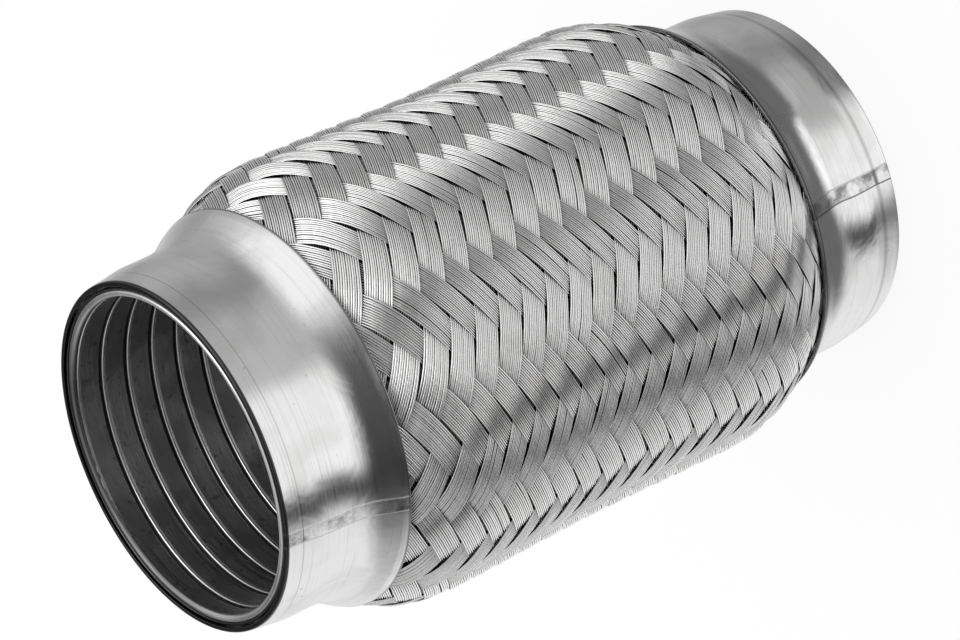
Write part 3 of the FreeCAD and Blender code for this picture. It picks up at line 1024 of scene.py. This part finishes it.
@dataclass
class SpiralLiner:
    """Liner of interlocked strip: flat bands, each with a rolled bead at its open seam.

    Bends are in the order of the corners: the strip's from the foot of its visible face, and
    the ring's from its inside nearest the rim.
    """

    sizes: PipeSizes
    finish: LinerSteel
    bore: float = 25.0 * MM
    outside: float = 26.08 * MM
    pitch: float = 4.6 * MM
    gap: float = 0.5 * MM
    bead: float = 0.20 * MM
    bead_foot: float = 0.75 * MM
    bead_start: float = 0.42 * MM
    bead_width: float = 0.42 * MM
    sheet: float = 0.55 * MM
    lap: float = 0.5 * MM
    lap_sink: float = 0.08 * MM
    lap_start: float = 0.3 * MM
    tongue: float = 0.75 * MM
    bends: tuple[float, ...] = (0.18 * MM, 0.4 * MM, 0.28 * MM, 0.26 * MM, 0.12 * MM, 0.1 * MM,
                                0.0, 0.0, 0.0, 0.0, 0.1 * MM)
    arc_step: float = math.radians(24)
    sharp: float = math.radians(50)
    setback: float = 0.8 * MM
    seam_place: tuple[float, float] = (math.radians(90), 119.6 * MM)
    steps: int = 72
    ring_depth: tuple[float, float] = (0.3 * MM, 1.1 * MM)
    ring_bends: tuple[float, ...] = (0.62 * MM, 0.38 * MM, 0.0, 0.12 * MM)
    ring_arc_step: float = math.radians(16)
    ring_steps: int = 144

    def profile(self, foot: float) -> list[Vector]:
        """Closed outline of the strip.

        Args:
            foot: Height of the strip's lower edge.

        Returns:
            Points in order round the strip.
        """
        band = self.bore + self.bead
        top = self.pitch - self.gap
        seat = band + self.sheet
        lap = self.pitch + self.lap
        places = [
            (band, 0.0),
            (band, top - self.bead_foot),
            (self.bore, top - self.bead_start),
            (self.bore, top),
            (self.bore + self.bead_width, top),
            (seat + self.lap_sink, top - self.lap_start),
            (seat + self.lap_sink, lap),
            (self.outside, lap),
            (self.outside, self.tongue),
            (seat, self.tongue),
            (seat, 0.0),
        ]
        corners = [(*place, bend) for place, bend in zip(places, self.bends)]
        path = rounded_path(corners, self.arc_step)
        return [Vector((point.x, point.y + foot)) for point in path]

    def build(self) -> bpy.types.Object:
        """Winds the strip to the right, cuts it square at both ends and dresses it.

        Returns:
            The finished piece.
        """
        azimuth, height = self.seam_place
        foot = height - self.pitch + self.gap / 2 - self.pitch * azimuth / math.tau
        foot -= self.pitch * (math.floor(foot / self.pitch) + 2)
        turns = math.ceil((self.sizes.length - foot) / self.pitch)
        piece = section("spiral_liner_strip", self.profile(foot))
        apply_modifier(piece, "SCREW", axis="Z", angle=math.tau, screw_offset=self.pitch,
                       iterations=turns, steps=self.steps, render_steps=self.steps)
        select_only(piece)
        bpy.ops.object.mode_set(mode="EDIT")
        for cut, side in ((self.setback, -1), (self.sizes.length - self.setback, 1)):
            bpy.ops.mesh.select_all(action="SELECT")
            bpy.ops.mesh.bisect(plane_co=(0, 0, cut), plane_no=(0, 0, side), use_fill=True,
                                clear_outer=True, threshold=CUT_MERGE)
        bpy.ops.object.mode_set(mode="OBJECT")
        recalculate(piece)
        coat(piece, self.finish.material())
        smooth(piece, self.sharp)
        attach(piece, ROOT)
        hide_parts("spiral_liner")
        return piece

    def end_ring(self, end: End, finish: EdgeSteel) -> bpy.types.Object:
        """Rolls the bright edge that closes the liner in one mouth.

        Args:
            end: End of the pipe.
            finish: Finish of the edge.

        Returns:
            The finished ring.
        """
        near, far = self.ring_depth
        places = [(self.bore, near), (self.outside, near), (self.outside, far), (self.bore, far)]
        corners = [(*place, bend) for place, bend in zip(places, self.ring_bends)]
        path = from_rim(rounded_path(corners, self.ring_arc_step), end)
        piece = lathe(f"{end.value}_liner_edge", path, self.ring_steps)
        coat(piece, finish.material())
        smooth(piece)
        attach(piece, ROOT)
        return piece


@dataclass
class Braid:
    """Woven sleeve: flat strands of parallel wires, two over and two under.

    A swing is its size in metres and the least and greatest of its turns, in radians a row.
    """

    sizes: PipeSizes
    finish: WireSteel
    strands: int = 24
    wires: int = 12
    wire_radius: float = 0.153 * MM
    wire_step: float = 0.318 * MM
    sides: int = 5
    cuts: int = 113
    rows: int = 37
    tuck: float = 0.25
    turn: float = math.radians(2.6)
    dive: float = 0.42 * MM
    sharpness: float = 0.6
    skew: float = 0.3
    crown: float = 0.05 * MM
    bundles: int = 4
    sharp: float = math.radians(80)
    strand_swings: tuple[tuple[float, float, float], ...] = ((0.05 * MM, 0.25, 0.5),
                                                             (0.03 * MM, 0.8, 1.3))
    wire_swing: tuple[float, float, float] = (0.03 * MM, 0.5, 1.4)
    splits: tuple[int, int] = (1, 3)
    split_spread: tuple[float, float] = (0.9, 2.4)
    split_gap: tuple[float, float] = (0.08 * MM, 0.20 * MM)
    split_margin: int = 2
    stray: float = 0.012 * MM
    slack: float = 0.05 * MM
    most_tone: float = 0.6
    seed: int = 11
    draw: random.Random = field(init=False)

    def __post_init__(self) -> None:
        """Starts the seeded draw of the strands' small faults."""
        self.draw = random.Random(self.seed)

    @property
    def row_height(self) -> float:
        """Height between two rows of crossings."""
        return (self.sizes.length - 2 * self.sizes.weave_edge) / self.rows

    def cut_long_edges(self, piece: bpy.types.Object, least: float, cuts: int) -> None:
        """Cuts the edges along the wires into equal lengths.

        Args:
            piece: The ribbon.
            least: Length above which an edge is cut.
            cuts: Number of cuts in each.
        """
        places = piece.data.vertices
        for edge in piece.data.edges:
            low, high = (places[number].co for number in edge.vertices)
            edge.select = (high - low).length > least
        bpy.ops.object.mode_set(mode="EDIT")
        bpy.ops.mesh.subdivide(number_cuts=cuts)
        bpy.ops.mesh.select_all(action="DESELECT")
        bpy.ops.object.mode_set(mode="OBJECT")

    def flat_strand(self) -> bpy.types.Object:
        """Straight ribbon of wires along Y, from which every strand is copied.

        Returns:
            The ribbon, with Y counted in rows and X in metres.
        """
        reach = self.rows + 2 * self.tuck
        bpy.ops.object.select_all(action="DESELECT")
        bpy.ops.mesh.primitive_cylinder_add(vertices=self.sides, radius=self.wire_radius,
                                            depth=reach, end_fill_type="NGON",
                                            rotation=(math.pi / 2, 0, 0))
        piece = bpy.context.object
        piece.name = "flat_strand"
        bpy.ops.object.transform_apply(location=True, rotation=True, scale=True)
        bpy.ops.object.mode_set(mode="EDIT")
        bpy.ops.mesh.select_mode(type="EDGE")
        bpy.ops.mesh.select_all(action="DESELECT")
        bpy.ops.object.mode_set(mode="OBJECT")
        self.cut_long_edges(piece, reach / 2, 1)
        self.cut_long_edges(piece, reach / 4, self.cuts // 2)
        apply_modifier(piece, "ARRAY", count=self.wires, use_relative_offset=False,
                       use_constant_offset=True, constant_offset_displace=(self.wire_step, 0, 0))
        places = points_of(piece)
        places[:, 0] -= self.wire_step * (self.wires - 1) / 2
        places[:, 1] += self.rows / 2
        move_points(piece, places)
        write_values(piece, "flank", 0.5 - places[:, 2] / (2 * self.wire_radius))
        smooth(piece, self.sharp)
        return piece

    def lay(self, flat: np.ndarray, hand: Hand, start: int
            ) -> tuple[np.ndarray, np.ndarray, np.ndarray]:
        """Lays the ribbon on the sleeve.

        Args:
            flat: Vertex places of the ribbon.
            hand: Hand of the strand.
            start: Column where the strand starts.

        Returns:
            The places on the sleeve, how far each vertex has dived, and its wire's tone.
        """
        s = self.sizes
        column_width = math.tau / (2 * self.strands) * s.middle_radius
        diagonal = math.hypot(column_width, self.row_height)
        pitch = 2 * column_width * self.row_height / diagonal
        lean = (column_width ** 2 - self.row_height ** 2) / diagonal ** 2
        number = np.rint(flat[:, 0] / self.wire_step + (self.wires - 1) / 2).astype(int)
        straight = (number - (self.wires - 1) / 2) * self.wire_step
        along = flat[:, 1]
        centre, lift, tone = self.disturb(number, straight, along)
        aside = flat[:, 0] - straight
        across = (centre + aside) / pitch
        travel = along - lean * aside / pitch
        climb = float(hand.value)
        column = start + climb * travel + across
        row = travel - climb * across
        # Over two crossings and under two, and the other hand the other way round.
        phase = start + climb * travel - (1.5 - climb)
        wave = math.pi / 2 * phase
        wave = np.cos(wave - climb * self.skew * np.cos(wave))
        over = np.tanh(self.sharpness * wave) / math.tanh(self.sharpness)
        sink = (1 - over) / 2
        height = s.weave_edge + row * self.row_height
        share = 2 * (centre + aside) / (self.wires * self.wire_step)
        radius = (s.braid_outside(height) - self.wire_radius - 2 * self.dive * sink
                  - self.crown * share ** 2 - lift + flat[:, 2])
        angle = self.turn + column * math.pi / self.strands
        places = np.stack((radius * np.cos(angle), radius * np.sin(angle), height), axis=1)
        return places, sink, tone

    def swing(self, along: np.ndarray, size: float, slow: float, quick: float) -> np.ndarray:
        """Draws a slow wave along a strand.

        Args:
            along: Places along the strand, in rows.
            size: Height of the wave.
            slow: Least turn of the wave a row.
            quick: Greatest turn of the wave a row.

        Returns:
            The wave at each place.
        """
        turn, phase = self.draw.uniform(slow, quick), self.draw.uniform(0, 6)
        return size * np.sin(along * turn + phase)

    def disturb(self, number: np.ndarray, centre: np.ndarray, along: np.ndarray
                ) -> tuple[np.ndarray, np.ndarray, np.ndarray]:
        """Gives one strand its small faults: it wanders, and some of its wires part.

        Args:
            number: Number of each vertex's wire.
            centre: Place of that wire across the strand.
            along: Place along the strand.

        Returns:
            The wires' new places across, how far they lie deeper, and their tones.
        """
        draw = self.draw
        centre = centre + sum(self.swing(along, *swing) for swing in self.strand_swings)
        for _ in range(draw.randint(*self.splits)):
            place = draw.uniform(self.split_margin, self.rows - self.split_margin)
            spread = draw.uniform(*self.split_spread)
            gap = draw.uniform(*self.split_gap)
            between = draw.randint(self.split_margin, self.wires - 1 - self.split_margin) + 0.5
            bell = np.exp(-((along - place) / spread) ** 2)
            part = np.clip(np.abs(number - between) / (self.wires / 2), 0, 1)
            centre = centre + np.sign(number - between) * gap * bell * (1 - part) / 2
        lift = np.zeros(len(number))
        tone = np.zeros(len(number))
        for wire in range(self.wires):
            own = number == wire
            centre[own] += draw.uniform(-self.stray, self.stray)
            lift[own] = draw.uniform(0, self.slack)
            lift[own] += self.swing(along[own], *self.wire_swing)
            tone[own] = draw.uniform(0, self.most_tone)
        return centre, lift, tone

    def build(self) -> list[bpy.types.Object]:
        """Weaves all strands and joins them into a few bundles of each hand.

        Returns:
            The finished pieces.
        """
        pattern = self.flat_strand()
        flat = points_of(pattern)
        material = self.finish.material()
        pieces = []
        for hand in Hand:
            for bundle in range(self.bundles):
                strands = []
                for number in range(bundle, self.strands, self.bundles):
                    strand = bpy.data.objects.new("strand", pattern.data.copy())
                    bpy.context.scene.collection.objects.link(strand)
                    places, sink, tone = self.lay(flat, hand, 2 * number)
                    move_points(strand, places)
                    write_values(strand, "sink", sink)
                    write_values(strand, "tone", tone)
                    strands.append(strand)
                piece = self.join(strands, f"strands_{hand.name.lower()}_{bundle + 1}")
                coat(piece, material)
                pieces.append(piece)
        bpy.data.objects.remove(pattern)
        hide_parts("wire_braid")
        for piece in pieces:
            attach(piece, ROOT)
        return pieces

    def join(self, strands: list[bpy.types.Object], name: str) -> bpy.types.Object:
        """Joins strands into one piece.

        Args:
            strands: The strands.
            name: Name of the piece.

        Returns:
            The joined piece.
        """
        bpy.ops.object.select_all(action="DESELECT")
        for strand in strands:
            strand.select_set(True)
        bpy.context.view_layer.objects.active = strands[0]
        bpy.ops.object.join()
        piece = bpy.context.object
        piece.name = name
        return piece


@dataclass
class Studio:
    """Camera, soft light from all round and a pale floor.

    The lights round the pipe are stops of azimuth in degrees, 0 on the camera's side, and level.
    Of two gleams or ceilings the first is the one before its edge.
    """

    place: tuple[float, float, float] = (0.0, -0.6075, 0.4373)
    forward: tuple[float, float, float] = (-0.00117, 0.85081, -0.52547)
    roll: float = math.radians(-115.14)
    lens: float = 176.34
    sensor: float = 36.0
    sight: float = 50.0
    diffuse_light: float = 1.0
    low_lights: tuple[tuple[float, float], ...] = (
        (-180, 0.82), (-150, 0.88), (-90, 0.90), (-74, 0.78), (-66, 0.02), (-54, 0.02),
        (-46, 1.16), (-30, 1.34), (2, 1.40), (12, 0.68), (22, 0.48), (55, 0.52), (72, 0.30),
        (86, 0.26), (105, 0.42), (125, 0.44), (145, 0.34), (165, 0.55), (180, 0.85))
    high_lights: tuple[tuple[float, float], ...] = (
        (-180, 0.05), (-150, 0.10), (-130, 0.40), (-105, 0.45), (-92, 0.26), (-75, 0.08),
        (-60, 0.02), (-40, 0.05), (0, 0.09), (20, 0.12), (36, 0.80), (60, 1.20), (90, 1.20),
        (105, 0.70), (130, 0.50), (150, 0.12), (180, 0.05))
    horizon: Span = Span(-0.04, 0.44)
    horizon_lift: float = 0.22
    slant: float = 1.2
    slant_edge: Span = Span(-0.26, 0.06)
    south_edge: Span = Span(-0.50, -0.16)
    shadow: float = 0.15
    gleams: tuple[float, float] = (1.25, 0.60)
    gleam_edge: Span = Span(-0.88, -0.70)
    ground: Span = Span(-0.85, -0.67, 1.0, 0.0)
    ceilings: tuple[float, float] = (0.5, 1.9)
    ceiling_edge: Span = Span(0.0, 0.35)
    ceiling: Span = Span(0.66, 0.80)
    floor_size: float = 6.0
    floor_drop: float = 0.05 * MM
    floor_glow: float = 1.015
    glow_share: float = 0.85
    paper: float = 0.95

    def build(self) -> None:
        """Sets up the camera, the world and the floor."""
        self.camera()
        self.world()
        self.floor()
        bpy.context.scene.view_settings.view_transform = "Standard"

    def camera(self) -> None:
        """Places the camera at the photograph's viewing angle."""
        bpy.ops.object.camera_add(location=self.place)
        camera = bpy.context.object
        camera.rotation_mode = "QUATERNION"
        aim = Vector(self.forward).to_track_quat("-Z", "Y")
        camera.rotation_quaternion = aim @ Quaternion((0, 0, 1), self.roll)
        camera.data.lens = self.lens
        camera.data.sensor_width = self.sensor
        camera.data.clip_end = self.sight
        bpy.context.scene.camera = camera

    def world(self) -> None:
        """Paints the studio: white to the camera, and boxes of light with dark gaps to metal."""
        world = bpy.data.worlds.new("studio")
        bpy.context.scene.world = world
        world.use_nodes = True
        nodes = Nodes(world.node_tree)
        level = self.lights(nodes)
        path = nodes.add("LightPath")
        glossy = nodes.mix(path.outputs["Is Glossy Ray"], grey(self.diffuse_light), level)
        colour = nodes.mix(path.outputs["Is Camera Ray"], glossy, grey(1.0))
        light = nodes.add("Background", {"Color": colour, "Strength": 1.0})
        output = nodes.add("OutputWorld")
        nodes.tree.links.new(light.outputs[0], output.inputs["Surface"])

    def lights(self, nodes: Nodes) -> bpy.types.NodeSocket:
        """Paints what the metal mirrors: a low and a high row of lights, ground and ceiling.

        Args:
            nodes: The world's nodes.

        Returns:
            The level in a ray's direction.
        """
        ray = nodes.add("TexCoord").outputs["Generated"]
        east, south, up = nodes.add("SeparateXYZ", {0: ray}).outputs
        angle = nodes.math("ARCTAN2", east, nodes.math("MULTIPLY", south, -1.0))
        turn = nodes.math("MULTIPLY_ADD", angle, 1 / math.tau, 0.5)
        low, high = (nodes.ramp(turn, [(azimuth / 360 + 0.5, level) for azimuth, level in row])
                     for row in (self.low_lights, self.high_lights))
        lifted = nodes.math("MULTIPLY_ADD", nodes.math("ABSOLUTE", east), self.horizon_lift, up)
        level = nodes.mix(nodes.fade(lifted, self.horizon), low, high)
        aslant = nodes.math("MULTIPLY_ADD", east, self.slant, south)
        away = nodes.math("MAXIMUM", nodes.fade(aslant, self.slant_edge),
                          nodes.fade(south, self.south_edge))
        deep, shallow = (grey(gleam) for gleam in self.gleams)
        gleam = nodes.mix(nodes.fade(up, self.gleam_edge), deep, shallow)
        under = nodes.mix(away, gleam, grey(self.shadow))
        level = nodes.mix(nodes.fade(up, self.ground), level, under)
        west_top, east_top = (grey(ceiling) for ceiling in self.ceilings)
        top = nodes.mix(nodes.fade(east, self.ceiling_edge), west_top, east_top)
        return nodes.mix(nodes.fade(up, self.ceiling), level, top)

    def floor(self) -> None:
        """Lays the pale floor, which keeps a faint shadow."""
        bpy.ops.object.select_all(action="DESELECT")
        bpy.ops.mesh.primitive_plane_add(size=self.floor_size,
                                         location=(0, 0, -self.floor_drop))
        floor = bpy.context.object
        floor.name = "floor"
        material = bpy.data.materials.new("pale_floor")
        material.use_nodes = True
        nodes = Nodes(material.node_tree)
        white = nodes.add("Emission", {"Color": grey(1.0), "Strength": self.floor_glow})
        paper = nodes.add("BsdfDiffuse", {"Color": grey(self.paper)})
        seen = nodes.math("MULTIPLY", nodes.add("LightPath").outputs["Is Camera Ray"],
                          self.glow_share)
        mixed = nodes.add("MixShader", {0: seen, 1: paper.outputs[0], 2: white.outputs[0]})
        output = nodes.add("OutputMaterial")
        nodes.tree.links.new(mixed.outputs[0], output.inputs["Surface"])
        floor.data.materials.append(material)
        floor.visible_glossy = False


def main() -> None:
    """Builds the pieces round the frame and sets up the studio."""
    logging.basicConfig(level=logging.INFO, format="%(message)s")
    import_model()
    sizes = PipeSizes()
    upper = CapSteel(name="upper_cap_steel", weld=math.radians(-130), lip=19.25 * MM)
    lower = CapSteel(name="lower_cap_steel", weld=math.radians(-104), crease=3.4 * MM,
                     crease_width=0.75 * MM, edge_shade=0.8, rim=0.1 * MM)
    pieces = [
        EndCap(End.UPPER, sizes, upper, seed=5).build(),
        EndCap(End.LOWER, sizes, lower, seed=8).build(),
        Bellows(sizes, BellowsSteel()).build(),
    ]
    liner = SpiralLiner(sizes, LinerSteel())
    pieces.append(liner.build())
    for end in End:
        pieces.append(liner.end_ring(end, EdgeSteel(name=f"{end.value}_edge_steel")))
    pieces += Braid(sizes, WireSteel()).build()
    for piece in pieces:
        LOG.info("%s: %d faces", piece.name, len(piece.data.polygons))
    Studio().build()


if __name__ == "__main__":
    main()
